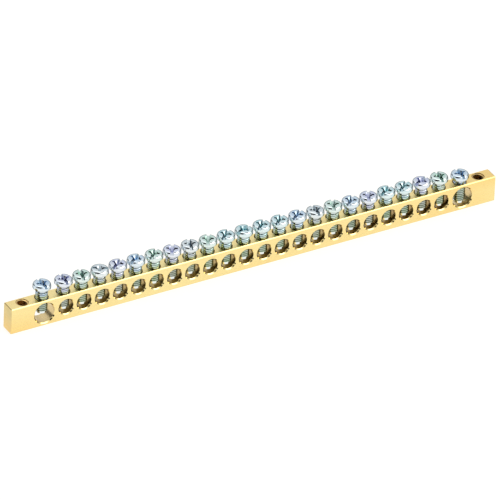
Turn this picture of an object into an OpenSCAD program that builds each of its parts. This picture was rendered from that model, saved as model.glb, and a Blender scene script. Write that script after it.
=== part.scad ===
// Earth terminal bar: one drilled and tapped brass bar with a clamp screw over every wire bore.
// The bar stands on its narrow lower face. +X runs along the bar, +Y along the wire bores and
// +Z along the screws. The origin is the middle of the lower face.

/* [Bar] */
// Height of the bar, along the clamp screws
bar_h = 9.2; // [8.8:0.1:11]
// Thickness of the bar, along the wire bores
bar_t = 5.2; // [5:0.1:8]
// Bevel that the drawing die leaves on the four long edges
edge_bevel = 0.25; // [0.05:0.05:0.3]

/* [Terminals] */
// Number of small terminals between the two large ones
small_count = 22; // [2:1:40]
// Distance from one small terminal to the next
pitch = 6.5; // [6.3:0.1:9]
// Distance from the last small terminal to the large one beside it
end_pitch = 7.7; // [7.2:0.1:10]
// Diameter of a small wire bore
small_bore_d = 5.2; // [4.6:0.1:5.4]
// Diameter of a large wire bore
large_bore_d = 7.1; // [6.6:0.1:7.4]
// How far a small wire bore lies above the middle of the bar
small_bore_rise = 0.2; // [0:0.05:0.3]
// Chamfer at the mouths of wire bores and screw holes
mouth_chamfer = 0.25; // [0.05:0.05:0.3]

/* [Mounting holes] */
// Diameter of a mounting hole over its thread
mount_hole_d = 4.1; // [3.1:0.1:4.2]
// Distance from a mounting hole to the end of the bar
mount_to_end = 5.1; // [4:0.1:10]
// Distance from a mounting hole to the large terminal beside it
mount_to_terminal = 6.9; // [6.4:0.1:12]

/* [Clamp screws] */
// Diameter of the shank over its thread
shank_d = 4; // [3.3:0.1:4.2]
// Gap all round between the shank and its tapped hole
thread_gap = 0.05; // [0.02:0.01:0.1]
// What the shank is longer than the way from the bar's top to the floor of a small bore
shank_spare = 1.9; // [1:0.1:3]
// Length of the plain point below the thread
tip_len = 0.85; // [0.5:0.05:1.2]
// Diameter of the plain point
tip_d = 3.1; // [2.4:0.1:3.2]
// Diameter of the head
head_d = 5.9; // [5:0.1:6.2]
// Height of the head
head_h = 1.9; // [1.6:0.1:2.6]
// Rounding of the head's upper edge
head_round = 0.9; // [0.3:0.05:0.95]
// Bevel under the head's rim
head_bevel = 0.25; // [0.1:0.05:0.4]

/* [Drive] */
// Width of the slot across the head
slot_w = 1; // [0.8:0.1:1.2]
// Depth of the slot
slot_depth = 0.9; // [0.6:0.1:1.1]
// Width of the four wings of the cross recess
wing_w = 0.8; // [0.6:0.1:1]
// Length of the cross recess from wing end to wing end, at the top of the head
wing_span = 3.7; // [3:0.1:4.2]
// The same at the bottom of the recess
wing_root = 2; // [1.2:0.1:2.4]
// Depth of the cross recess
cross_depth = 1.8; // [1.2:0.1:2]
// Diameter of the cone in the middle of the cross recess, at the top of the head
core_d = 2; // [1.4:0.1:2.4]

/* [Hidden] */
$fn = 64;
through = 1;  // how far a cutter reaches past the face that it opens

last = small_count + 1;  // number of the last terminal, counted from 0
half_row = (small_count - 1) * pitch / 2 + end_pitch;
mount_x = half_row + mount_to_terminal;
bar_len = 2 * (mount_x + mount_to_end);

small_floor = bar_h / 2 + small_bore_rise - small_bore_d / 2;
shank_len = bar_h - small_floor + shank_spare;
screw_hole_d = shank_d + 2 * thread_gap;
screw_len = shank_len + head_h;

// How far each screw is opened: the height of its tip above the floor of its wire bore.
first_open = 2.85;
last_open = 0.85;
small_open = [
    1.2, 1.1, 1.2, 1.3, 1.3, 1.3, 1.1, 1.2, 1.1, 1.1, 1.1,
    1.1, 1.1, 1.1, 1.0, 1.2, 1.0, 0.9, 1.0, 0.9, 0.9, 0.8
];

// The way that each slot points, in degrees from +X: the screws stopped wherever they were turned to.
slot_turn = [
    90, 74, 73, 150, 39, 33, 46, 60, 72, 60, 44, 24,
    45, 47, 41, 85, 66, 48, 63, 36, 43, 26, 82, 87
];

function is_large(i) = i == 0 || i == last;
function terminal_x(i) =
    i == 0 ? -half_row :
    i == last ? half_row :
    (i - last / 2) * pitch;
function bore_d(i) = is_large(i) ? large_bore_d : small_bore_d;
function bore_z(i) = bar_h / 2 + (is_large(i) ? 0 : small_bore_rise);
function screw_open(i) =
    i == 0 ? first_open :
    i == last ? last_open :
    small_open[(i - 1) % len(small_open)];
function tip_z(i) = bore_z(i) - bore_d(i) / 2 + screw_open(i);
function screw_name(i) = str("clamp_screw_", i < 9 ? "0" : "", i + 1);

// A drill of diameter d that opens both ends of a way of length len, with a chamfered mouth at
// each. It stands on the XY plane.
module drill(d, len) {
    mouth = d / 2 + mouth_chamfer + through;
    rotate_extrude()
        polygon([
            [0, -through], [mouth, -through], [d / 2, mouth_chamfer],
            [d / 2, len - mouth_chamfer], [mouth, len + through], [0, len + through]
        ]);
}

module wire_bore(i) {
    translate([terminal_x(i), bar_t / 2, bore_z(i)])
        rotate([90, 0, 0])
            drill(bore_d(i), bar_t);
}

// A drill with a chamfered mouth at its upper end only.
module drill_top(d, len) {
    mouth = d / 2 + mouth_chamfer + through;
    rotate_extrude()
        polygon([
            [0, 0], [d / 2, 0], [d / 2, len - mouth_chamfer],
            [mouth, len + through], [0, len + through]
        ]);
}

// From the top of the bar down into the middle of the wire bore.
module screw_hole(i) {
    translate([terminal_x(i), 0, bore_z(i)])
        drill_top(screw_hole_d, bar_h - bore_z(i));
}

module bar_section() {
    y = bar_t / 2;
    polygon([
        [-y + edge_bevel, 0], [y - edge_bevel, 0],
        [y, edge_bevel], [y, bar_h - edge_bevel],
        [y - edge_bevel, bar_h], [-y + edge_bevel, bar_h],
        [-y, bar_h - edge_bevel], [-y, edge_bevel]
    ]);
}

module bar() {
    color([0.86, 0.71, 0.38])
        difference() {
            rotate([90, 0, 90])
                linear_extrude(bar_len, center = true)
                    bar_section();
            for (i = [0:last]) {
                wire_bore(i);
                screw_hole(i);
            }
            for (side = [-1, 1])
                translate([side * mount_x, 0, -through])
                    cylinder(h = bar_h + 2 * through, d = mount_hole_d);
        }
}

// Half the outline of the screw, with its tip at the origin.
module screw_section() {
    rim = head_d / 2;
    corner = rim - head_round;
    union() {
        polygon([
            [0, 0], [tip_d / 2, 0], [tip_d / 2, tip_len],
            [shank_d / 2, tip_len + (shank_d - tip_d) / 2], [shank_d / 2, shank_len],
            [rim - head_bevel, shank_len], [rim, shank_len + head_bevel],
            [rim, screw_len - head_round], [corner, screw_len - head_round],
            [corner, screw_len], [0, screw_len]
        ]);
        intersection() {
            translate([corner, screw_len - head_round])
                circle(head_round);
            translate([corner, screw_len - head_round])
                square(head_round);
        }
    }
}

// The slot and the cross recess in line with it, cut down from the top of the head.
module drive_recess() {
    translate([0, 0, screw_len - slot_depth / 2 + through / 2])
        cube([head_d + through, slot_w, slot_depth + through], center = true);
    translate([0, 0, screw_len - cross_depth]) {
        for (turn = [0, 90])
            rotate([90, 0, turn])
                linear_extrude(wing_w, center = true)
                    wing_section();
        cylinder(h = cross_depth, d1 = wing_w, d2 = core_d);
    }
}

// A pair of wings seen from the side: long at the top of the head and short at the bottom.
module wing_section() {
    polygon([
        [-wing_root / 2, 0], [wing_root / 2, 0], [wing_span / 2, cross_depth],
        [wing_span / 2, cross_depth + through], [-wing_span / 2, cross_depth + through],
        [-wing_span / 2, cross_depth]
    ]);
}

module clamp_screw(i) {
    color([0.76, 0.80, 0.82])
        translate([terminal_x(i), 0, tip_z(i)])
            rotate(slot_turn[i % len(slot_turn)])
                difference() {
                    rotate_extrude()
                        screw_section();
                    drive_recess();
                }
}

bar();
for (i = [0:last])
    clamp_screw(i);
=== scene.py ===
# %% [markdown]
# # An earth terminal bar
#
# The real object is a drawn brass bar with 24 cross-drilled wire bores. A zinc-plated clamp screw
# comes down into each bore and presses the wire on to its floor, and a tapped hole at each end
# fixes the bar in its box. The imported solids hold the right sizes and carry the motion. This file
# dresses them: the screws get rolled threads and a crisp combination drive, the bar gets soft
# drawn edges and cut threads, and both get the metals that they are made of.
#
# The first cell loads the solids. Where things stand and how far they reach is measured from
# their boxes.

# %% Load the solids
import math

import bmesh
import bpy
from mathutils import Matrix, Vector


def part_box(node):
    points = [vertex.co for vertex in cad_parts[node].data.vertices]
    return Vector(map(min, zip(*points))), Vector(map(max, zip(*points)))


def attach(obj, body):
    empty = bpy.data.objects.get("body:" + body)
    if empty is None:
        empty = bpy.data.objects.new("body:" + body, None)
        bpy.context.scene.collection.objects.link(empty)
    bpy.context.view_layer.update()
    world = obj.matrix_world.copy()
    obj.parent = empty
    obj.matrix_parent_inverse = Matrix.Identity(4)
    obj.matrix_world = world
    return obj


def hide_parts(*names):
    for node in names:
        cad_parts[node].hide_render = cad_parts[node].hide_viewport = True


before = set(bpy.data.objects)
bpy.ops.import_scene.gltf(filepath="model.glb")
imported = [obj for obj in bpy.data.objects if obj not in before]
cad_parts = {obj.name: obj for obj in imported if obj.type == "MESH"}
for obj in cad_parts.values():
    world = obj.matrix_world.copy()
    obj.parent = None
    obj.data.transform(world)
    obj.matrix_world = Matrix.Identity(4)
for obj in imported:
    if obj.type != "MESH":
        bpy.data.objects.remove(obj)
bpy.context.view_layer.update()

MM = 0.001
bar_low, bar_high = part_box("bar")
bar_length, bar_thickness, bar_height = (bar_high - bar_low) / MM

# %% [markdown]
# ## Camera
#
# A small bright part is pictured from far away with a long lens, so that its far end is hardly
# smaller than its near one. The camera looks down at 33 degrees, 30 degrees to the left of
# square, and leans by 2 degrees. A lens is usually aimed by hand. Here the three axes are worked
# out, because a long lens shows every tenth of a degree, and two shifts in millimetres centre the
# bar and its screws in the frame.

# %% Camera
AZIMUTH, ELEVATION, LEAN = (math.radians(a) for a in (-30.5, 33.17, 2.393))
DISTANCE, LENS = 3.520, 798.0

ahead = Vector((
    -math.sin(AZIMUTH) * math.cos(ELEVATION),
    math.cos(AZIMUTH) * math.cos(ELEVATION),
    -math.sin(ELEVATION),
))
level = Vector((math.cos(AZIMUTH), math.sin(AZIMUTH), 0))
upright = level.cross(ahead)
right = math.cos(LEAN) * level + math.sin(LEAN) * upright
up = math.cos(LEAN) * upright - math.sin(LEAN) * level

camera_data = bpy.data.cameras.new("camera")
camera_data.sensor_width, camera_data.lens = 36, LENS
camera_data.clip_start, camera_data.clip_end = 0.1, 20
camera = bpy.data.objects.new("camera", camera_data)
bpy.context.scene.collection.objects.link(camera)
SHIFT_RIGHT, SHIFT_UP = -0.419, 4.130
spot = -DISTANCE * ahead + SHIFT_RIGHT * MM * right + SHIFT_UP * MM * up
camera.matrix_world = Matrix.Translation(spot) @ Matrix((right, up, -ahead)).transposed().to_4x4()
bpy.context.scene.camera = camera
print("camera stands", round(spot.length, 2), "m away")

# %% [markdown]
# ## Light and floor
#
# Bright metal shows its surroundings more than itself. In a tent of white cloth it looks soft
# and pale, and a few black cards hung in it draw the fine dark marks that make metal read as
# metal. The tent could be built of planes, but a sky with soft spots in it does the same, costs
# nothing and never gets in the way of a camera. Each spot is a direction, a size and a
# brightness. The large black card beside the camera shows as a short dash on the rounded edge of
# every screw head.

# %% Sky
world = bpy.data.worlds.new("white_tent")
world.use_nodes = True
bpy.context.scene.world = world
sky = world.node_tree
sky.nodes.clear()


def sky_node(kind, *feeds, **settings):
    """A node of the sky. Each feed is a socket to link or a value to set."""
    node = sky.nodes.new(kind)
    for key, value in settings.items():
        setattr(node, key, value)
    for socket, feed in zip(node.inputs, feeds):
        if isinstance(feed, bpy.types.NodeSocket):
            sky.links.new(feed, socket)
        elif feed is not None:
            socket.default_value = feed
    return node.outputs


def towards(azimuth, elevation):
    """A unit vector. Azimuth 0 is in front of the bar, and 90 is beyond its right end."""
    a, e = math.radians(azimuth), math.radians(elevation)
    return (math.sin(a) * math.cos(e), -math.cos(a) * math.cos(e), math.sin(e))


def soft_spot(base, direction, inner, outer, colour):
    """Mixes a colour over the base within an angle of a direction, fading from inner to outer."""
    ray = sky_node("ShaderNodeTexCoord")["Generated"]
    near = sky_node("ShaderNodeVectorMath", ray, direction, operation="DOT_PRODUCT")["Value"]
    share = sky_node(
        "ShaderNodeMapRange", near, math.cos(math.radians(outer)), math.cos(math.radians(inner)),
        interpolation_type="SMOOTHSTEP",
    )[0]
    mix = sky.nodes.new("ShaderNodeMix")
    mix.data_type = "RGBA"
    sky.links.new(share, mix.inputs["Factor"])
    if isinstance(base, bpy.types.NodeSocket):
        sky.links.new(base, mix.inputs["A"])
    else:
        mix.inputs["A"].default_value = (*base, 1)
    mix.inputs["B"].default_value = (*colour, 1)
    return mix.outputs["Result"]


CLOTH = (0.80, 0.82, 0.84)
SPOTS = [
    # azimuth, elevation, full within, gone beyond (all in degrees), colour
    (0, 90, 25, 75, (1.05, 1.07, 1.10)),  # the bright top of the tent
    (38, 44, 20, 32, (3.2, 3.1, 2.9)),  # the lamp, at the front right
    (-85, 26, 16, 30, (0.30, 0.31, 0.32)),  # the shaded left side
    (95, 0, 14, 30, (0.22, 0.20, 0.17)),  # the shaded right side
    (-150, 13, 13, 20, (0.03, 0.03, 0.03)),  # a black card low at the back left
    (50, 67, 13, 18, (0.02, 0.02, 0.03)),  # a black card above the lamp
    (-150, 78, 12, 18, (1.7, 1.7, 1.7)),  # a small lamp overhead
    (-60, 47, 25, 28, (0.0, 0.0, 0.0)),  # the large black card beside the camera
    (-50, 8, 5, 8, (0.02, 0.02, 0.03)),  # a small black card low at the front left
]
tent = CLOTH
for azimuth, elevation, full, gone, colour in SPOTS:
    tent = soft_spot(tent, towards(azimuth, elevation), full, gone, colour)
glow = sky_node("ShaderNodeBackground", tent, 1.0)[0]
sky_node("ShaderNodeOutputWorld", glow)
print("sky has", len(SPOTS), "spots")

# %% [markdown]
# ### Floor
#
# Small metal parts are often shown on a light table, whose opal glass glows a little, so that
# shadows on it stay faint and the underside of the part gets light. It could be a lit box under
# glass. One large face that shines by itself looks the same and needs no lamp.

# %% Floor
FLOOR_REACH = 3
floor_mesh = bpy.data.meshes.new("floor")
floor_corners = [
    (x * FLOOR_REACH, y * FLOOR_REACH, 0) for x, y in ((-1, -1), (1, -1), (1, 1), (-1, 1))
]
floor_mesh.from_pydata(floor_corners, [], [(0, 1, 2, 3)])
floor = bpy.data.objects.new("floor", floor_mesh)
bpy.context.scene.collection.objects.link(floor)
floor_finish = bpy.data.materials.new("light_table")
floor_finish.use_nodes = True
opal = floor_finish.node_tree.nodes["Principled BSDF"]
opal.inputs["Base Color"].default_value = (0.25, 0.25, 0.25, 1)
opal.inputs["Roughness"].default_value = 0.9
opal.inputs["Specular IOR Level"].default_value = 0
opal.inputs["Emission Color"].default_value = (1.0, 0.985, 0.95, 1)
opal.inputs["Emission Strength"].default_value = 0.86
floor_mesh.materials.append(floor_finish)
bpy.context.scene.view_settings.view_transform = "Standard"
print("floor reaches", FLOOR_REACH, "m each way")

# %% [markdown]
# ## Brass
#
# The bar is drawn through a die, sawn to length, drilled, reamed and tapped, and each of these
# leaves its own marks: fine lines along the bar, coarser ones down its sawn ends, rings round
# each bore. The long edges are burnished by the die, and the mouths of the bores by the tool that
# breaks their edges. A dark line is painted along the top of each end, a painted dark reflection,
# and the sawn ends are painted darker than the sides, as painted shade. The insides of the bores
# and holes are painted brown and dark: painted shade, and a painted reflection of brass in brass.
# A picture of all this could be wrapped round the bar. Noise in the bar's own coordinates draws
# it here, because noise has no seams, stays sharp at any size, and can be stretched along the way
# that the tool went.
#
# A finish is a small tree of shader nodes. It could be wired by hand in the shader editor. Here
# a class gives short names to the few nodes that every finish uses.

# %% Material helper


class Finish:
    """A metal finish, and short names for the nodes that it is made of."""

    def __init__(self, name, roughness):
        self.material = bpy.data.materials.new(name)
        self.material.use_nodes = True
        self.tree = self.material.node_tree
        self.shader = self.tree.nodes["Principled BSDF"]
        self.shader.inputs["Metallic"].default_value = 1.0
        self.shader.inputs["Roughness"].default_value = roughness
        self.place = self.tree.nodes.new("ShaderNodeTexCoord").outputs["Object"]

    def set(self, socket, feed):
        """Links a socket to another, or sets its value."""
        if isinstance(feed, bpy.types.NodeSocket):
            self.tree.links.new(feed, socket)
        else:
            socket.default_value = feed

    def noise(self, scale, stretch=(1, 1, 1), detail=3.0):
        """Noise of a number of grains a metre, stretched by a factor along each axis."""
        mapping = self.tree.nodes.new("ShaderNodeMapping")
        self.set(mapping.inputs["Vector"], self.place)
        mapping.inputs["Scale"].default_value = [scale / s for s in stretch]
        noise = self.tree.nodes.new("ShaderNodeTexNoise")
        self.set(noise.inputs["Vector"], mapping.outputs[0])
        noise.inputs["Scale"].default_value = 1.0
        noise.inputs["Detail"].default_value = detail
        return noise.outputs["Fac"]

    def ramp(self, feed, low, high, to_low=0.0, to_high=1.0):
        """A value that goes from to_low to to_high while the feed goes from low to high."""
        node = self.tree.nodes.new("ShaderNodeMapRange")
        for socket, value in zip(node.inputs, (feed, low, high, to_low, to_high)):
            self.set(socket, value)
        return node.outputs[0]

    def corner(self, x_from, x_to, z_from, z_to):
        """A share that grows towards one corner of the bar, between lengths in millimetres."""
        split = self.tree.nodes.new("ShaderNodeSeparateXYZ")
        self.set(split.inputs[0], self.place)
        both = self.tree.nodes.new("ShaderNodeMath")
        both.operation = "MULTIPLY"
        self.set(both.inputs[0], self.ramp(split.outputs["X"], x_from * MM, x_to * MM))
        self.set(both.inputs[1], self.ramp(split.outputs["Z"], z_from * MM, z_to * MM))
        return both.outputs[0]

    def blend(self, share, a, b):
        """A colour that goes from a to b with the share. Each is a socket or three numbers."""
        mix = self.tree.nodes.new("ShaderNodeMix")
        mix.data_type = "RGBA"
        self.set(mix.inputs["Factor"], share)
        for key, colour in (("A", a), ("B", b)):
            self.set(mix.inputs[key], colour if hasattr(colour, "links") else (*colour, 1))
        return mix.outputs["Result"]

    def marks(self, heights):
        """Tool marks: a chain of bumps, each a height field with its depth in millimetres."""
        normal = None
        for height, depth in heights:
            bump = self.tree.nodes.new("ShaderNodeBump")
            bump.inputs["Strength"].default_value = 1.0
            bump.inputs["Distance"].default_value = depth * MM
            self.set(bump.inputs["Height"], height)
            if normal:
                self.set(bump.inputs["Normal"], normal)
            normal = bump.outputs["Normal"]
        self.set(self.shader.inputs["Normal"], normal)


# %% [markdown]
# ### One recipe for brass
#
# The whole bar is one alloy, so one recipe makes all seven finishes, and only the marks and the
# shade differ. Each could be a material of its own, made by hand, but seven would be hard to keep
# alike. Warmer patches and dull stains keep the metal from looking like plastic. The lower left
# corner of the bar is painted warmer, a painted reflection of the shaded, brass-lit floor beside
# it, and the upper right corner is painted warmer too.

# %% Brass finishes
PALE, WARM, DULL = (0.925, 0.760, 0.355), (0.93, 0.66, 0.25), (0.72, 0.57, 0.25)
BROWN = (0.60, 0.40, 0.16)
# Corners painted warmer: at the lower left a painted warm reflection of the floor beside the bar.
PAINTED_WARM_LOWER_LEFT = (-58, -90, 7, 0)
UPPER_RIGHT = (66, 86, 5, 9)


def brass(name, roughness, stretch, grains, depth, warmth, pale=PALE, warm=WARM):
    """Brass with tool marks stretched along each axis, this many to a metre and this deep in mm."""
    finish = Finish(name, roughness)
    patches = finish.ramp(finish.noise(55, (2.5, 1, 1), 2), 0.42, 0.72, 0.0, warmth)
    stains = finish.ramp(finish.noise(420, (1.5, 1, 1), 4), 0.60, 0.75, 0.0, 0.35)
    colour = finish.blend(patches, pale, warm)
    for corner in (PAINTED_WARM_LOWER_LEFT, UPPER_RIGHT):
        colour = finish.blend(finish.corner(*corner), colour, warm)
    finish.set(finish.shader.inputs["Base Color"], finish.blend(stains, colour, DULL))
    lines = finish.noise(grains, stretch, 4)
    finish.set(
        finish.shader.inputs["Roughness"],
        finish.ramp(lines, 0.3, 0.7, roughness * 0.8, roughness * 1.25),
    )
    finish.marks([(lines, depth), (finish.noise(1500, (1, 1, 1), 2), depth * 0.4)])
    return finish.material


def darker(colour, shade):
    """The colour times a shade between 0 and 1."""
    return tuple(c * shade for c in colour)


ALONG, DOWN, AROUND, EVEN = (40, 1, 1), (1, 12, 1.5), (1, 1, 6), (1, 1, 1)
brass_drawn = brass("brass_drawn", 0.30, ALONG, 5200, 0.0009, 0.55)
# Sawn ends painted darker than the sides: painted shade.
brass_sawn_shaded = brass("brass_sawn_shaded", 0.42, DOWN, 5200, 0.0040, 0.30, darker(PALE, 0.74))
brass_burnished = brass("brass_burnished", 0.10, (20, 1, 1), 4200, 0.0006, 0.30)
# Bores and holes painted dark brown inside: painted shade and a painted reflection of brass in
# brass.
brass_bored_shaded = brass(
    "brass_bored_shaded", 0.18, AROUND, 4200, 0.0020, 0.90, (0.45, 0.33, 0.13), darker(BROWN, 0.62)
)
brass_reamed_shaded = brass(
    "brass_reamed_shaded", 0.24, AROUND, 4200, 0.0020, 0.50, (0.73, 0.58, 0.31), (0.64, 0.47, 0.22)
)
# A painted dark reflection along the top of each end.
brass_painted_dark_edge = brass(
    "brass_painted_dark_edge", 0.30, EVEN, 4200, 0.0020, 0.90, darker(BROWN, 0.35), darker(BROWN, 0.25)
)
brass_tapped_shaded = brass(
    "brass_tapped_shaded", 0.24, EVEN, 4200, 0.0020, 0.90, (0.78, 0.54, 0.22), darker(BROWN, 0.8)
)
print("brass finishes:", [m.name for m in bpy.data.materials if m.name.startswith("brass")])

# %% [markdown]
# ## Zinc plate
#
# The screws are cold-formed steel with a thin bright zinc plate, sealed in a bath that leaves a
# faint film of colour. The film's thickness differs a little from screw to screw and over each
# screw, which turns its tint from blue through lilac to green. One finish serves all 24 screws:
# it reads two values that the mesh stores at its points, the colour of the film, with a painted
# reflection of brass in it, and how much painted shade lies on it, and noise lets the colour
# drift. A finish for each screw would do too, but would have to be changed 24 times.

# %% Zinc finish
BARE_ZINC, DULL_ZINC, PAINTED_SHADE_COLOUR = (0.82, 0.87, 0.87), (0.50, 0.53, 0.55), (0.04, 0.05, 0.06)


def zinc():
    """Bright zinc plate, coloured by the film colour that the mesh stores and darkened by its
    painted shade.
    """
    finish = Finish("zinc_plate", 0.16)
    tint = finish.tree.nodes.new("ShaderNodeAttribute")
    tint.attribute_name = "plating_and_reflection"
    grime = finish.tree.nodes.new("ShaderNodeAttribute")
    grime.attribute_name = "grime"
    drift = finish.ramp(finish.noise(700, (1, 1, 1), 2), 0.35, 0.68, 0.45, 1.0)
    colour = finish.blend(drift, BARE_ZINC, tint.outputs["Color"])
    # Painted shade: the colour goes dark where the mesh marks shade.
    colour = finish.blend(grime.outputs["Fac"], colour, PAINTED_SHADE_COLOUR)
    spots = finish.ramp(finish.noise(2600, (1, 1, 1), 3), 0.62, 0.74, 0.0, 0.5)
    finish.set(finish.shader.inputs["Base Color"], finish.blend(spots, colour, DULL_ZINC))
    finish.shader.inputs["Specular Tint"].default_value = (0.05, 0.08, 0.11, 1)
    grain = finish.noise(6000, (1, 1, 1), 3)
    finish.set(finish.shader.inputs["Roughness"], finish.ramp(grain, 0.3, 0.7, 0.05, 0.12))
    finish.marks([(finish.noise(1800, (1, 1, 1), 3), 0.0025), (grain, 0.0006)])
    return finish.material


zinc_plate = zinc()
print("zinc finish:", zinc_plate.name)

# %% [markdown]
# ## A workshop of nodes
#
# The screws and the bar follow rules: a turned outline, a helix, a row of drilled holes. Geometry
# Nodes keep such rules as a tree with named sizes. Trees are long to wire by hand, so a small
# class does the wiring, and its sockets can be added and multiplied, so that each rule below
# reads like its formula. Shapes are made in millimetres and scaled once at the end, because the
# tools that join solids work best on numbers near 1.

# %% Tree helper


class Field:
    """A socket that can be used in sums."""

    def __init__(self, tree, socket):
        self.tree, self.socket = tree, socket

    def __add__(self, other):
        return self.tree.math("ADD", self, other)

    def __sub__(self, other):
        return self.tree.math("SUBTRACT", self, other)

    def __mul__(self, other):
        return self.tree.math("MULTIPLY", self, other)

    __radd__, __rmul__ = __add__, __mul__


class Tree:
    """A Geometry Nodes tree with named inputs and one geometry output."""

    def __init__(self, name):
        self.group = bpy.data.node_groups.new(name, "GeometryNodeTree")
        self.group.interface.new_socket(
            "Geometry", in_out="OUTPUT", socket_type="NodeSocketGeometry"
        )
        self.start = self.group.nodes.new("NodeGroupInput")
        self.end = self.group.nodes.new("NodeGroupOutput")
        self.keys = {}

    def size(self, label, value, kind="NodeSocketFloat"):
        """A named input of the tree, with the value it has unless another is given."""
        socket = self.group.interface.new_socket(label, in_out="INPUT", socket_type=kind)
        if value is not None:
            socket.default_value = value
        self.keys[label] = socket.identifier
        return Field(self, self.start.outputs[label])

    def feed(self, socket, value):
        """Links a field, or each of a list of fields, or sets a value."""
        for one in value if isinstance(value, list) else [value]:
            if isinstance(one, Field):
                self.group.links.new(one.socket, socket)
            else:
                socket.default_value = one

    def node(self, kind, feeds=(), out=0, **settings):
        """A new node with its inputs fed and its settings made, as a field of one output."""
        node = self.group.nodes.new(kind)
        for key, value in settings.items():
            setattr(node, key, value)
        for key, value in dict(feeds).items():
            self.feed(node.inputs[key], value)
        return Field(self, node.outputs[out])

    def math(self, operation, a, b=0.0):
        """One step of arithmetic."""
        return self.node("ShaderNodeMath", {0: a, 1: b}, operation=operation)

    def point(self, x, y, z):
        """Three numbers as one vector."""
        return self.node("ShaderNodeCombineXYZ", {0: x, 1: y, 2: z})

    def axes(self):
        """The x, y and z of each point."""
        place = self.node("GeometryNodeInputPosition")
        node = self.group.nodes.new("ShaderNodeSeparateXYZ")
        self.feed(node.inputs[0], place)
        return [Field(self, socket) for socket in node.outputs]

    def pick(self, index, pairs):
        """The pair of numbers that an index points at, as two fields."""
        node = self.group.nodes.new("GeometryNodeIndexSwitch")
        node.data_type = "VECTOR"
        while len(node.index_switch_items) < len(pairs):
            node.index_switch_items.new()
        self.feed(node.inputs[0], index)
        for k, (a, b) in enumerate(pairs):
            self.feed(node.inputs[k + 1], self.point(a, b, 0.0))
        split = self.group.nodes.new("ShaderNodeSeparateXYZ")
        self.group.links.new(node.outputs[0], split.inputs[0])
        return Field(self, split.outputs[0]), Field(self, split.outputs[1])

    def moved(self, shape, z=0.0, turn=(0, 0, 0)):
        """A shape turned, and then moved up."""
        place = self.point(0.0, 0.0, z)
        return self.node("GeometryNodeTransform", {
            "Geometry": shape, "Translation": place, "Rotation": turn,
        })

    def painted(self, shape, finish, where=True):
        """A shape with a finish, everywhere or on some of its faces."""
        feeds = {"Geometry": shape, "Selection": where, "Material": finish}
        return self.node("GeometryNodeSetMaterial", feeds)

    def cut(self, operation, body, tools):
        """A solid less, plus or within others."""
        feeds = {"Mesh 2": tools, "Self Intersection": True}
        if operation == "DIFFERENCE":
            feeds["Mesh 1"] = body
        else:
            feeds["Mesh 2"] = [body, *tools]
        return self.node("GeometryNodeMeshBoolean", feeds, operation=operation, solver="EXACT")

    def done(self, shape):
        """Scales a shape from millimetres to metres and makes it the tree's result."""
        small = self.node("GeometryNodeTransform", {"Geometry": shape, "Scale": (MM, MM, MM)})
        whole = self.node("GeometryNodeRealizeInstances", {"Geometry": small})
        self.group.links.new(whole.socket, self.end.inputs["Geometry"])


# %% [markdown]
# ### Turned and threaded shapes
#
# A turned shape is a flat grid rolled round an axis: one way across the grid becomes the angle,
# the other walks along the outline. A thread is the same grid rolled on a slope, so that each
# turn ends one pitch higher and joins the next. Its profile has a narrow root, two flanks and a
# broad crest, as a rolled and plated thread shows it. Both are closed solids, because only these
# can be joined and cut.

# %% Turned and threaded shapes
FINE = 1e-4  # mm: points closer than this are merged
# Where a thread's profile is low and where it is high, as shares of one pitch.
ROOT_END, CREST_START, CREST_END = 0.14, 0.38, 0.78


def unrolled(tree, columns, rows):
    """A grid, with the share across it and the row number up it at each point."""
    grid = tree.node("GeometryNodeMeshGrid", {
        "Size X": 1.0, "Size Y": 1.0, "Vertices X": columns, "Vertices Y": rows,
    })
    x, y, _ = tree.axes()
    return grid, x + 0.5, tree.math("ROUND", (y + 0.5) * (rows - 1))


def rolled(tree, grid, radius, angle, height):
    """The grid with each point at its own radius, angle and height, and its seams closed."""
    x, y = radius * tree.math("COSINE", angle), radius * tree.math("SINE", angle)
    shape = tree.node("GeometryNodeSetPosition", {
        "Geometry": grid, "Position": tree.point(x, y, height),
    })
    return tree.node("GeometryNodeMergeByDistance", {"Geometry": shape, "Distance": FINE})


def turned(tree, outline, sides=64):
    """A solid of revolution from an outline of radius and height, from its lower pole up."""
    grid, share, row = unrolled(tree, sides + 1, len(outline))
    radius, height = tree.pick(row, outline)
    return rolled(tree, grid, radius, (share + 0.5 / sides) * math.tau, height)


def threaded(tree, crest, root, pitch, turns, bottom, steps=40):
    """A closed threaded rod that starts at a height and has a number of turns."""
    grid, share, row = unrolled(tree, turns * steps + 1, 5)
    radius, part = tree.pick(row, [
        (root, 0.0), (root, ROOT_END), (crest, CREST_START), (crest, CREST_END), (root, 1.0),
    ])
    turn = share * turns
    rod = rolled(tree, grid, radius, turn * math.tau, (turn + part) * pitch + bottom)
    open_edge = tree.node(
        "FunctionNodeCompare",
        {2: tree.node("GeometryNodeInputMeshEdgeNeighbors"), 3: 1},
        data_type="INT", operation="EQUAL",
    )
    grown = tree.group.nodes.new("GeometryNodeExtrudeMesh")
    grown.mode = "EDGES"
    tree.feed(grown.inputs["Mesh"], rod)
    tree.feed(grown.inputs["Selection"], open_edge)
    tree.feed(grown.inputs["Offset Scale"], 0.0)
    height = tree.axes()[2]
    upper = tree.math("GREATER_THAN", height, turns * pitch * 0.5 + bottom)
    apex = bottom + pitch * 0.5 + upper * pitch * turns
    capped = tree.node("GeometryNodeSetPosition", {
        "Geometry": Field(tree, grown.outputs["Mesh"]),
        "Selection": Field(tree, grown.outputs["Top"]),
        "Position": tree.point(0.0, 0.0, apex),
    })
    return tree.node("GeometryNodeMergeByDistance", {"Geometry": capped, "Distance": FINE})


# %% [markdown]
# ## Clamp screws
#
# Each screw is cold-formed: a blank with a pan head, a drive punched into it, and a thread rolled
# on to the shank between a plain point and a plain neck. One could model a single screw by hand,
# but heads and threads come in standard sizes, so the sizes get names first, and a tree makes the
# screw from them. Another screw is then a matter of other numbers.

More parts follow.
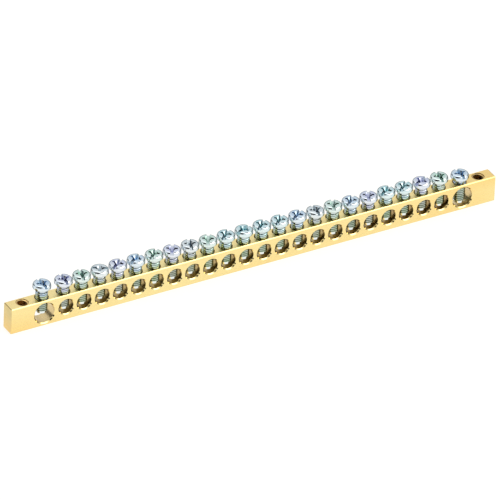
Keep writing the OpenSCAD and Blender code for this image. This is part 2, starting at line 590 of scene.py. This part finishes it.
# %% Screw sizes
screw_low, screw_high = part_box("clamp_screw_01")
SCREW_LENGTH = (screw_high.z - screw_low.z) / MM
HEAD_D, HEAD_H = 5.9, 1.9
POINT_R, POINT_LEN = 1.54, 0.85
NECK_LEN = 0.95

screw = Tree("clamp_screw")
head_r = screw.size("Head Radius", HEAD_D / 2)
head_round = screw.size("Head Rounding", 0.9)
crest_r = screw.size("Thread Crest Radius", 1.98)
root_r = screw.size("Thread Root Radius", 1.68)
pitch = screw.size("Thread Pitch", 0.7)
neck_r = screw.size("Neck Radius", 1.74)
neck_len = screw.size("Neck Length", NECK_LEN)
slot_w = screw.size("Slot Width", 1.0)
slot_depth = screw.size("Slot Depth", 0.9)
wing_w = screw.size("Wing Width", 0.8)
metal = screw.size("Finish", None, "NodeSocketMaterial")
under = SCREW_LENGTH - HEAD_H
neck_low = under + neck_len * -1
print("a screw is", round(SCREW_LENGTH, 2), "mm long")

# %% [markdown]
# ### Blank and thread
#
# The thread is what the clamp force runs through, and the light draws a fine dark line in each of
# its roots. Rings round the shank could stand for it, but rings don't climb, and the slope of a
# thread shows at this size. So a threaded rod is trimmed by the outline of the blank, and then
# joined to a head with its neck.

# %% Blank and thread
TURNS, ROD_LOW = 14, -1.0
rod = threaded(screw, crest_r, root_r, pitch, TURNS, ROD_LOW)
blank = turned(screw, [
    (0.0, 0.0), (POINT_R - 0.12, 0.0), (POINT_R, 0.12), (POINT_R, POINT_LEN),
    (crest_r, POINT_LEN + 0.3), (crest_r, neck_low + -0.3),
    (crest_r - 0.6, neck_low + 0.3), (0.0, neck_low + 0.3),
], 48)
shank = screw.cut("INTERSECT", rod, [blank])

arc = [math.radians(a) for a in (0, 18, 36, 54, 72, 90)]
rim = head_r - head_round
head = turned(screw, [
    (0.0, neck_low + -0.9), (1.1, neck_low + -0.9), (1.1, neck_low + -0.4),
    (neck_r, neck_low), (neck_r, under),
    (head_r - 0.25, under), (head_r, under + 0.25),
    *[
        (rim + head_round * math.cos(a), SCREW_LENGTH + head_round * (math.sin(a) - 1))
        for a in arc
    ],
    (0.0, SCREW_LENGTH),
])
body = screw.cut("UNION", head, [shank])
print("blank has a rod of", TURNS, "turns, trimmed and joined to its head")

# %% [markdown]
# ### The drive
#
# The drive is a slot across the head and a cross recess in line with it, so that a flat or a
# cross driver fits. On the real screw one punch makes both. Here a block, two pairs of tapering
# wings and a cone are cut out of the head: each is simple by itself, and the edges where they
# meet come out as sharp as the punch leaves them.

# %% Drive
CROSS_DEPTH, CORE_DEPTH = 1.8, 1.9
WING_ROOT, WING_SPAN = 2.0, 3.7
SPARE = 1.0


def wings(tree, width):
    """A pair of opposite wings, long and wide at the top of the head, short and thin below."""
    block = tree.node("GeometryNodeMeshCube", {"Size": (1, 1, 1)})
    x, y, z = tree.axes()
    rise = z + 0.5
    tall = CROSS_DEPTH + SPARE
    reach = rise * tall * ((WING_SPAN - WING_ROOT) / CROSS_DEPTH) + WING_ROOT
    spread = rise * 0.35 + 0.75
    return tree.node("GeometryNodeSetPosition", {
        "Geometry": block,
        "Position": tree.point(
            x * reach, y * width * spread, rise * tall + SCREW_LENGTH - CROSS_DEPTH
        ),
    })


slot = screw.node("GeometryNodeMeshCube", {
    "Size": screw.point(HEAD_D + SPARE, slot_w, slot_depth + SPARE),
})
slot = screw.moved(slot, z=slot_depth * -0.5 + SCREW_LENGTH + SPARE / 2)
pair = wings(screw, wing_w)
other_pair = screw.moved(pair, turn=(0, 0, math.pi / 2))
core = turned(screw, [
    (0.0, SCREW_LENGTH - CORE_DEPTH), (0.4, SCREW_LENGTH - CROSS_DEPTH),
    (1.4, SCREW_LENGTH + 0.4), (0.0, SCREW_LENGTH + 0.4),
], 32)
cut = screw.cut("DIFFERENCE", body, [slot, pair, other_pair, core])
screw.done(screw.painted(cut, metal))
print("screw tree has", len(screw.group.nodes), "nodes")

# %% [markdown]
# ### From tree to mesh
#
# The tree's result becomes a plain mesh. Joining solids leaves flat faces in many pieces, so
# these are melted together first. Then chosen sharp edges get a narrow bevel: the outer edges of
# a screw's head and the edges of the bar's sawn ends. Such an edge is never a knife edge, and its
# bevel is what catches the light. Modifiers left live on the piece would do the same, but a plain
# mesh is sure to look alike everywhere. Its normals are weighted by area, so that the flats stay
# flat.

# %% Mesh helper
MELT = 0.006  # mm: points closer than this become one
FOLD = 35  # degrees: an edge sharper than this may be bevelled
CREASE = 38  # degrees: an edge sharper than this is shaded sharp


def grown(tree, name, sizes):
    """The mesh that a tree makes with these sizes."""
    carrier = bpy.data.objects.new(name, bpy.data.meshes.new(name))
    bpy.context.scene.collection.objects.link(carrier)
    modifier = carrier.modifiers.new("tree", "NODES")
    modifier.node_group = tree.group
    for label, value in sizes.items():
        modifier[tree.keys[label]] = value
    graph = bpy.context.evaluated_depsgraph_get()
    mesh = bpy.data.meshes.new_from_object(carrier.evaluated_get(graph))
    bpy.data.objects.remove(carrier)
    return mesh


def melted(mesh, is_bevelled, limit=0.3):
    """Faces flat within a limit in degrees made one, doubles merged, edges to bevel marked."""
    shape = bmesh.new()
    shape.from_mesh(mesh)
    bmesh.ops.remove_doubles(shape, verts=shape.verts, dist=MELT * MM)
    bmesh.ops.dissolve_degenerate(shape, edges=shape.edges, dist=MELT * MM)
    bmesh.ops.dissolve_limit(
        shape, angle_limit=math.radians(limit), verts=shape.verts, edges=shape.edges,
        delimit={"MATERIAL"},
    )
    weight = shape.edges.layers.float.new("bevel_weight_edge")
    marked = 0
    for edge in shape.edges:
        if len(edge.link_faces) == 2 and edge.calc_face_angle(0) > math.radians(FOLD):
            edge[weight] = float(is_bevelled(edge))
            marked += is_bevelled(edge)
    bad = sum(1 for edge in shape.edges if len(edge.link_faces) != 2)
    shape.to_mesh(mesh)
    shape.free()
    return marked, bad


def dressed(mesh, name, bevel, segments=2):
    """A finished piece: bevelled, smooth but for its sharp edges, with weighted normals."""
    piece = bpy.data.objects.new(name, mesh)
    bpy.context.scene.collection.objects.link(piece)
    edge = piece.modifiers.new("edge", "BEVEL")
    edge.limit_method, edge.width, edge.segments = "WEIGHT", bevel * MM, segments
    edge.use_clamp_overlap = False
    graph = bpy.context.evaluated_depsgraph_get()
    piece.data = bpy.data.meshes.new_from_object(piece.evaluated_get(graph))
    piece.modifiers.clear()
    piece.data.shade_smooth()
    piece.data.set_sharp_from_angle(angle=math.radians(CREASE))
    weighted = piece.modifiers.new("normals", "WEIGHTED_NORMAL")
    weighted.keep_sharp, weighted.weight = True, 100
    graph = bpy.context.evaluated_depsgraph_get()
    piece.data = bpy.data.meshes.new_from_object(piece.evaluated_get(graph))
    piece.modifiers.clear()
    piece.data.name = name
    return piece


# %% [markdown]
# ### One master screw
#
# All 24 screws come out of one die and differ only in how far and to what angle they are turned,
# and in their tint. The tree could run once for each, but joining and cutting is slow work. So it
# runs once, and its mesh is copied for each screw.

# %% Master screw


def on_rim(edge):
    """Whether an edge of the screw is an outer edge of its head."""
    flat = all(v.co.z > (SCREW_LENGTH - 0.01) * MM for v in edge.verts)
    side = all(v.co.xy.length > 2 * MM and v.co.z > (under - 0.05) * MM for v in edge.verts)
    return edge.is_convex and (flat or side)


RIM_BEVEL = 0.05
master = grown(screw, "zinc_screw", {"Finish": zinc_plate})
marked, bad = melted(master, on_rim)
master = dressed(master, "zinc_screw", RIM_BEVEL)
print("one screw:", len(master.data.polygons), "faces,", marked, "bevelled edges,", bad, "open")

# %% [markdown]
# ### Colour over one screw
#
# The film of colour isn't even. It is strong in the recess and in the thread, weaker on the neck
# and the side of the head, and nearly gone from the plain point. The lower thread, near and
# inside the bar, has a painted reflection of brass mixed into its colour. Painted shade darkens
# the thread's roots, the part inside the bore, the neck and the bottom of the recess. These
# shares depend only on where a point lies on the screw, so a short rule gives them. They could be
# painted by hand, but a rule is the same for every screw and is changed in one place.

# %% Colour over one screw
RECESS_R = 2.2


def share(value, low, high):
    """How far a value has gone from low to high, from 0 to 1."""
    return min(1.0, max(0.0, (value - low) / (high - low)))


def layers_at(place):
    """The shares of colour film, painted brass reflection and painted shade at a point, from 0 to
    1.
    """
    r, z = place.xy.length / MM, place.z / MM
    depth = SCREW_LENGTH - z
    if z < POINT_LEN + 0.05:
        return 0.05, 0.0, 0.0
    if z < under - NECK_LEN:
        inside = share(z, 5.8, 5.2)
        near_bar = share(z, 7.0, 6.3)
        root = share(r, 1.90, 1.72)
        film = 0.55 + 0.35 * inside
        # A painted reflection of the brass bar on the lower thread.
        brass_reflection = 0.9 * near_bar - 0.25 * inside
        # dark is painted shade, in the thread's roots and inside the bore.
        dark = 0.25 * inside + (0.5 - 0.2 * inside) * root
        return film, brass_reflection, dark
    if z < under + 0.02:
        # Painted shade on the neck under the head.
        return 0.25, 0.0, 0.12
    if r >= RECESS_R:
        return 0.32, 0.0, 0.0
    if depth > 0.03:
        # Painted shade at the bottom of the recess.
        return 0.85, 0.0, 0.25 * share(depth, 1.3, 1.8)
    return 0.6, 0.0, 0.0


layers = [layers_at(v.co) for v in master.data.vertices]
# Painted shade, stored at each point of the screw.
grime = master.data.attributes.new("grime", "FLOAT", "POINT")
grime.data.foreach_set("value", [dark for _, _, dark in layers])
print("grime lies on", sum(dark > 0 for _, _, dark in layers), "of", len(layers), "points")

# %% [markdown]
# ### The row of screws
#
# Nobody stops every screw at the same angle, and the bath tints each one a little differently, so
# each gets its own turn and tint. Each stands where its solid stands and rides on the body that
# carries that solid along its thread. Objects that share one mesh would be lighter, but the tint
# is stored at the points of the mesh, so each screw has a copy.

# %% Row of screws
BARE, PAINTED_BRASS_REFLECTION = (0.81, 0.86, 0.86), (0.56, 0.62, 0.28)
BLUE, LILAC, GREEN = (0.34, 0.56, 0.82), (0.48, 0.50, 0.80), (0.42, 0.70, 0.56)
TEAL, GREY = (0.32, 0.66, 0.72), (0.52, 0.60, 0.66)
TINTS = [
    BLUE, LILAC, GREEN, GREY, LILAC, BLUE, GREEN, LILAC, GREY, GREEN, TEAL, TEAL,
    TEAL, TEAL, BLUE, GREY, GREEN, BLUE, LILAC, TEAL, TEAL, LILAC, GREEN, BLUE,
]
SLOT_TURNS = [
    90, 85, 73, 150, 39, 33, 46, 60, 72, 60, 44, 24,
    45, 47, 41, 85, 66, 48, 63, 36, 43, 26, 82, 87,
]


def mixed(a, b, part):
    """A colour that goes from a to b with the part."""
    return [x + (y - x) * part for x, y in zip(a, b)]


for k, (tint, slot_turn) in enumerate(zip(TINTS, SLOT_TURNS), start=1):
    low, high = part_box(f"clamp_screw_{k:02d}")
    mesh = master.data.copy()
    mesh.name = f"zinc_screw_{k:02d}"
    place = Matrix.Translation(((low.x + high.x) / 2, 0, low.z))
    mesh.transform(place @ Matrix.Rotation(math.radians(slot_turn), 4, "Z"))
    film = mesh.color_attributes.new("plating_and_reflection", "FLOAT_COLOR", "POINT")
    # The film colour holds the painted brass reflection.
    film.data.foreach_set("color", [
        channel for film_share, reflection_share, _ in layers
        for channel in (*mixed(mixed(BARE, tint, film_share), PAINTED_BRASS_REFLECTION, reflection_share), 1.0)
    ])
    piece = bpy.data.objects.new(mesh.name, mesh)
    bpy.context.scene.collection.objects.link(piece)
    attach(piece, f"screw_{k:02d}")
    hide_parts(f"clamp_screw_{k:02d}")
bpy.data.objects.remove(master)
print(len(SLOT_TURNS), "screws are in place")

# %% [markdown]
# ## The drilled bar
#
# A length of drawn bar is drilled across in a drill jig, once for each wire, and tapped from
# above. The tree does the same, so that the edges between bores and faces come out as they do in
# the workshop. Faces could be modelled round every hole by hand, but a changed pitch would then
# mean starting again. First come the sizes and the stock, with its bevelled long edges.

# %% Bar stock
SMALL_COUNT = 22
FIX_TO_END = 5.1
large_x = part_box("clamp_screw_24")[0].x + (HEAD_D / 2) * MM
small_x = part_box("clamp_screw_23")[0].x + (HEAD_D / 2) * MM

drilled = Tree("drilled_bar")
length = drilled.size("Length", bar_length)
bevel = drilled.size("Edge Bevel", 0.25)
small_d = drilled.size("Small Bore", 5.2)
large_d = drilled.size("Large Bore", 7.1)
chamfer = drilled.size("Mouth Chamfer", 0.32)
fix_x = drilled.size("Fixing Hole From Middle", bar_length / 2 - FIX_TO_END)
row_end = drilled.size("Last Small Bore From Middle", small_x / MM)
large_at = drilled.size("Large Bore From Middle", large_x / MM)
drawn, bored, reamed, tapped, sawn, burnished = (
    drilled.size(f"{word} Finish", None, "NodeSocketMaterial")
    for word in ("Drawn", "Bored", "Reamed", "Tapped", "Sawn", "Burnished")
)

section = drilled.node("GeometryNodeCurvePrimitiveQuadrilateral", {
    "Width": bar_thickness, "Height": bar_height,
})
section = drilled.node("GeometryNodeFilletCurve", {
    "Curve": section, "Count": 1, "Radius": bevel,
}, mode="POLY")
rail = drilled.node("GeometryNodeCurvePrimitiveLine", {
    "Start": drilled.point(length * -0.5, 0.0, bar_height / 2),
    "End": drilled.point(length * 0.5, 0.0, bar_height / 2),
})
stock = drilled.node("GeometryNodeCurveToMesh", {
    "Curve": rail, "Profile Curve": section, "Fill Caps": True,
})
stock = drilled.painted(stock, drawn)
print("stock is", round(bar_length, 1), "mm long; the large bores lie at", round(large_x / MM, 2))

# %% [markdown]
# ### Drills
#
# Each drill widens where it leaves the metal, which makes the small chamfers that keep a wire
# from catching. A drill goes to every point of a row, and since both halves of the bar are alike,
# a row needs only its count and its reach from the middle. The screw holes could be cut with a
# thread too, but it would lie hidden round the screws, so they are plain.

# %% Drills


def drill(tree, radius, depth, mouth, finish, both=True, spare=1.0, sides=64):
    """A drill standing on its tip, with a flare where it leaves the metal, and at its tip too."""
    wide = radius + mouth + spare
    outline = [(0.0, depth + spare), (wide, depth + spare), (radius, depth + mouth * -1)][::-1]
    foot = [(0.0, -spare), (wide, -spare), (radius, mouth)] if both else [(0.0, 0.0), (radius, 0.0)]
    return tree.painted(turned(tree, foot + outline, sides), finish)


def in_row(tree, count, reach, y, z, tool, turn=(0, 0, 0)):
    """The tool at evenly spaced points, as far to the left of the middle as to the right."""
    points = tree.node("GeometryNodeMeshLine", {
        "Count": count,
        "Start Location": tree.point(reach * -1, y, z),
        "Offset": tree.point(reach * (2 / (count - 1)), 0.0, 0.0),
    })
    row = tree.node("GeometryNodeInstanceOnPoints", {
        "Points": points, "Instance": tool, "Rotation": turn,
    })
    return tree.node("GeometryNodeRealizeInstances", {"Geometry": row})


ACROSS = (math.pi / 2, 0, 0)
HALF = bar_thickness / 2
BORE_RISE, SCREW_HOLE_R = 0.2, 2.05
small_z, large_z = bar_height / 2 + BORE_RISE, bar_height / 2
small_bore = drill(drilled, small_d * 0.5, HALF * 2, chamfer, bored)
large_bore = drill(drilled, large_d * 0.5, HALF * 2, chamfer, reamed)
small_hole, large_hole = (
    drill(drilled, SCREW_HOLE_R, bar_height - z, chamfer, tapped, both=False, sides=48)
    for z in (small_z, large_z)
)
bores = [
    in_row(drilled, SMALL_COUNT, row_end, HALF, small_z, small_bore, ACROSS),
    in_row(drilled, 2, large_at, HALF, large_z, large_bore, ACROSS),
    in_row(drilled, SMALL_COUNT, row_end, 0.0, small_z, small_hole),
    in_row(drilled, 2, large_at, 0.0, large_z, large_hole),
]
print("drills stand in", len(bores), "rows")

# %% [markdown]
# ### Fixing holes
#
# The hole near each end is empty, so the thread cut in it shows. A tap leaves a helix in the
# wall and a small chamfer at each mouth. A dark ring painted in the hole could hint at this, but
# light runs along real crests. So a threaded rod is cut out of the bar, and a short cone above
# and below it.

# %% Fixing holes
TAP_CREST, TAP_ROOT, TAP_PITCH, TAP_TURNS, TAP_LOW = 2.03, 1.64, 0.7, 16, -1.2
MOUTH_WIDE, MOUTH_NARROW, MOUTH_DEPTH = 2.12, 1.92, 0.16
OVER = (math.pi, 0, 0)
tap = threaded(drilled, TAP_CREST, TAP_ROOT, TAP_PITCH, TAP_TURNS, TAP_LOW)
tap = drilled.painted(tap, tapped)
mouth = turned(drilled, [
    (0.0, -1.0), (MOUTH_WIDE, -1.0), (MOUTH_WIDE, 0.0), (MOUTH_NARROW, MOUTH_DEPTH),
    (0.0, MOUTH_DEPTH),
], 48)
mouth = drilled.painted(mouth, tapped)
ends = [
    in_row(drilled, 2, fix_x, 0.0, 0.0, tap),
    in_row(drilled, 2, fix_x, 0.0, 0.0, mouth),
    in_row(drilled, 2, fix_x, 0.0, bar_height, mouth, OVER),
]
print("fixing holes lie", FIX_TO_END, "mm from the ends")

# %% [markdown]
# ### Cutting the bar
#
# Every face takes the finish of the tool that cut it, which the cut does by itself. Two finishes
# depend on where a face lies instead. The faces just inside the bar's sides are burnished, which
# are the chamfers of the bores and the bevels of the long edges, and the ends are sawn. They
# could be picked by hand on the finished mesh, but a rule in the tree still holds when a size
# changes.

# %% Cut the bar
solid = drilled.cut("DIFFERENCE", stock, bores + ends)
x, y, _ = drilled.axes()
out = drilled.math("ABSOLUTE", y)
near_side = drilled.math("GREATER_THAN", out, HALF - 0.2)
on_side = drilled.math("GREATER_THAN", out, HALF - 0.02)
solid = drilled.painted(solid, burnished, near_side - on_side)
at_end = drilled.math("GREATER_THAN", drilled.math("ABSOLUTE", x), length * 0.5 - 0.001)
drilled.done(drilled.painted(solid, sawn, at_end))
print("bar tree has", len(drilled.group.nodes), "nodes")

# %% [markdown]
# ### The bar as a mesh
#
# A saw leaves the ends with a soft edge, so the edges of the ends are bevelled. The part of that
# bevel that faces up is painted dark: a painted dark reflection, a line finer than a hair along
# the top of each end.

# %% Bar
END_BEVEL = 0.16
bar_mesh = grown(drilled, "brass_bar", {
    "Drawn Finish": brass_drawn, "Bored Finish": brass_bored_shaded, "Reamed Finish": brass_reamed_shaded,
    "Burnished Finish": brass_burnished, "Tapped Finish": brass_tapped_shaded, "Sawn Finish": brass_sawn_shaded,
})
end_x = bar_high.x - 1e-6
marked, bad = melted(bar_mesh, lambda edge: all(abs(v.co.x) > end_x for v in edge.verts))
brass_bar = dressed(bar_mesh, "brass_bar", END_BEVEL)
brass_bar.data.materials.append(brass_painted_dark_edge)
dark_edge_slot = len(brass_bar.data.materials) - 1
# The upward faces of the end bevels get the painted dark reflection.
for face in brass_bar.data.polygons:
    at_end = abs(face.center.x) > end_x - 0.2 * MM
    if at_end and abs(face.normal.x) > 0.3 and face.normal.z > 0.3:
        face.material_index = dark_edge_slot
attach(brass_bar, "bar")
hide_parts("bar")
print("bar has", len(brass_bar.data.polygons), "faces,", marked, "bevelled edges,", bad, "open")
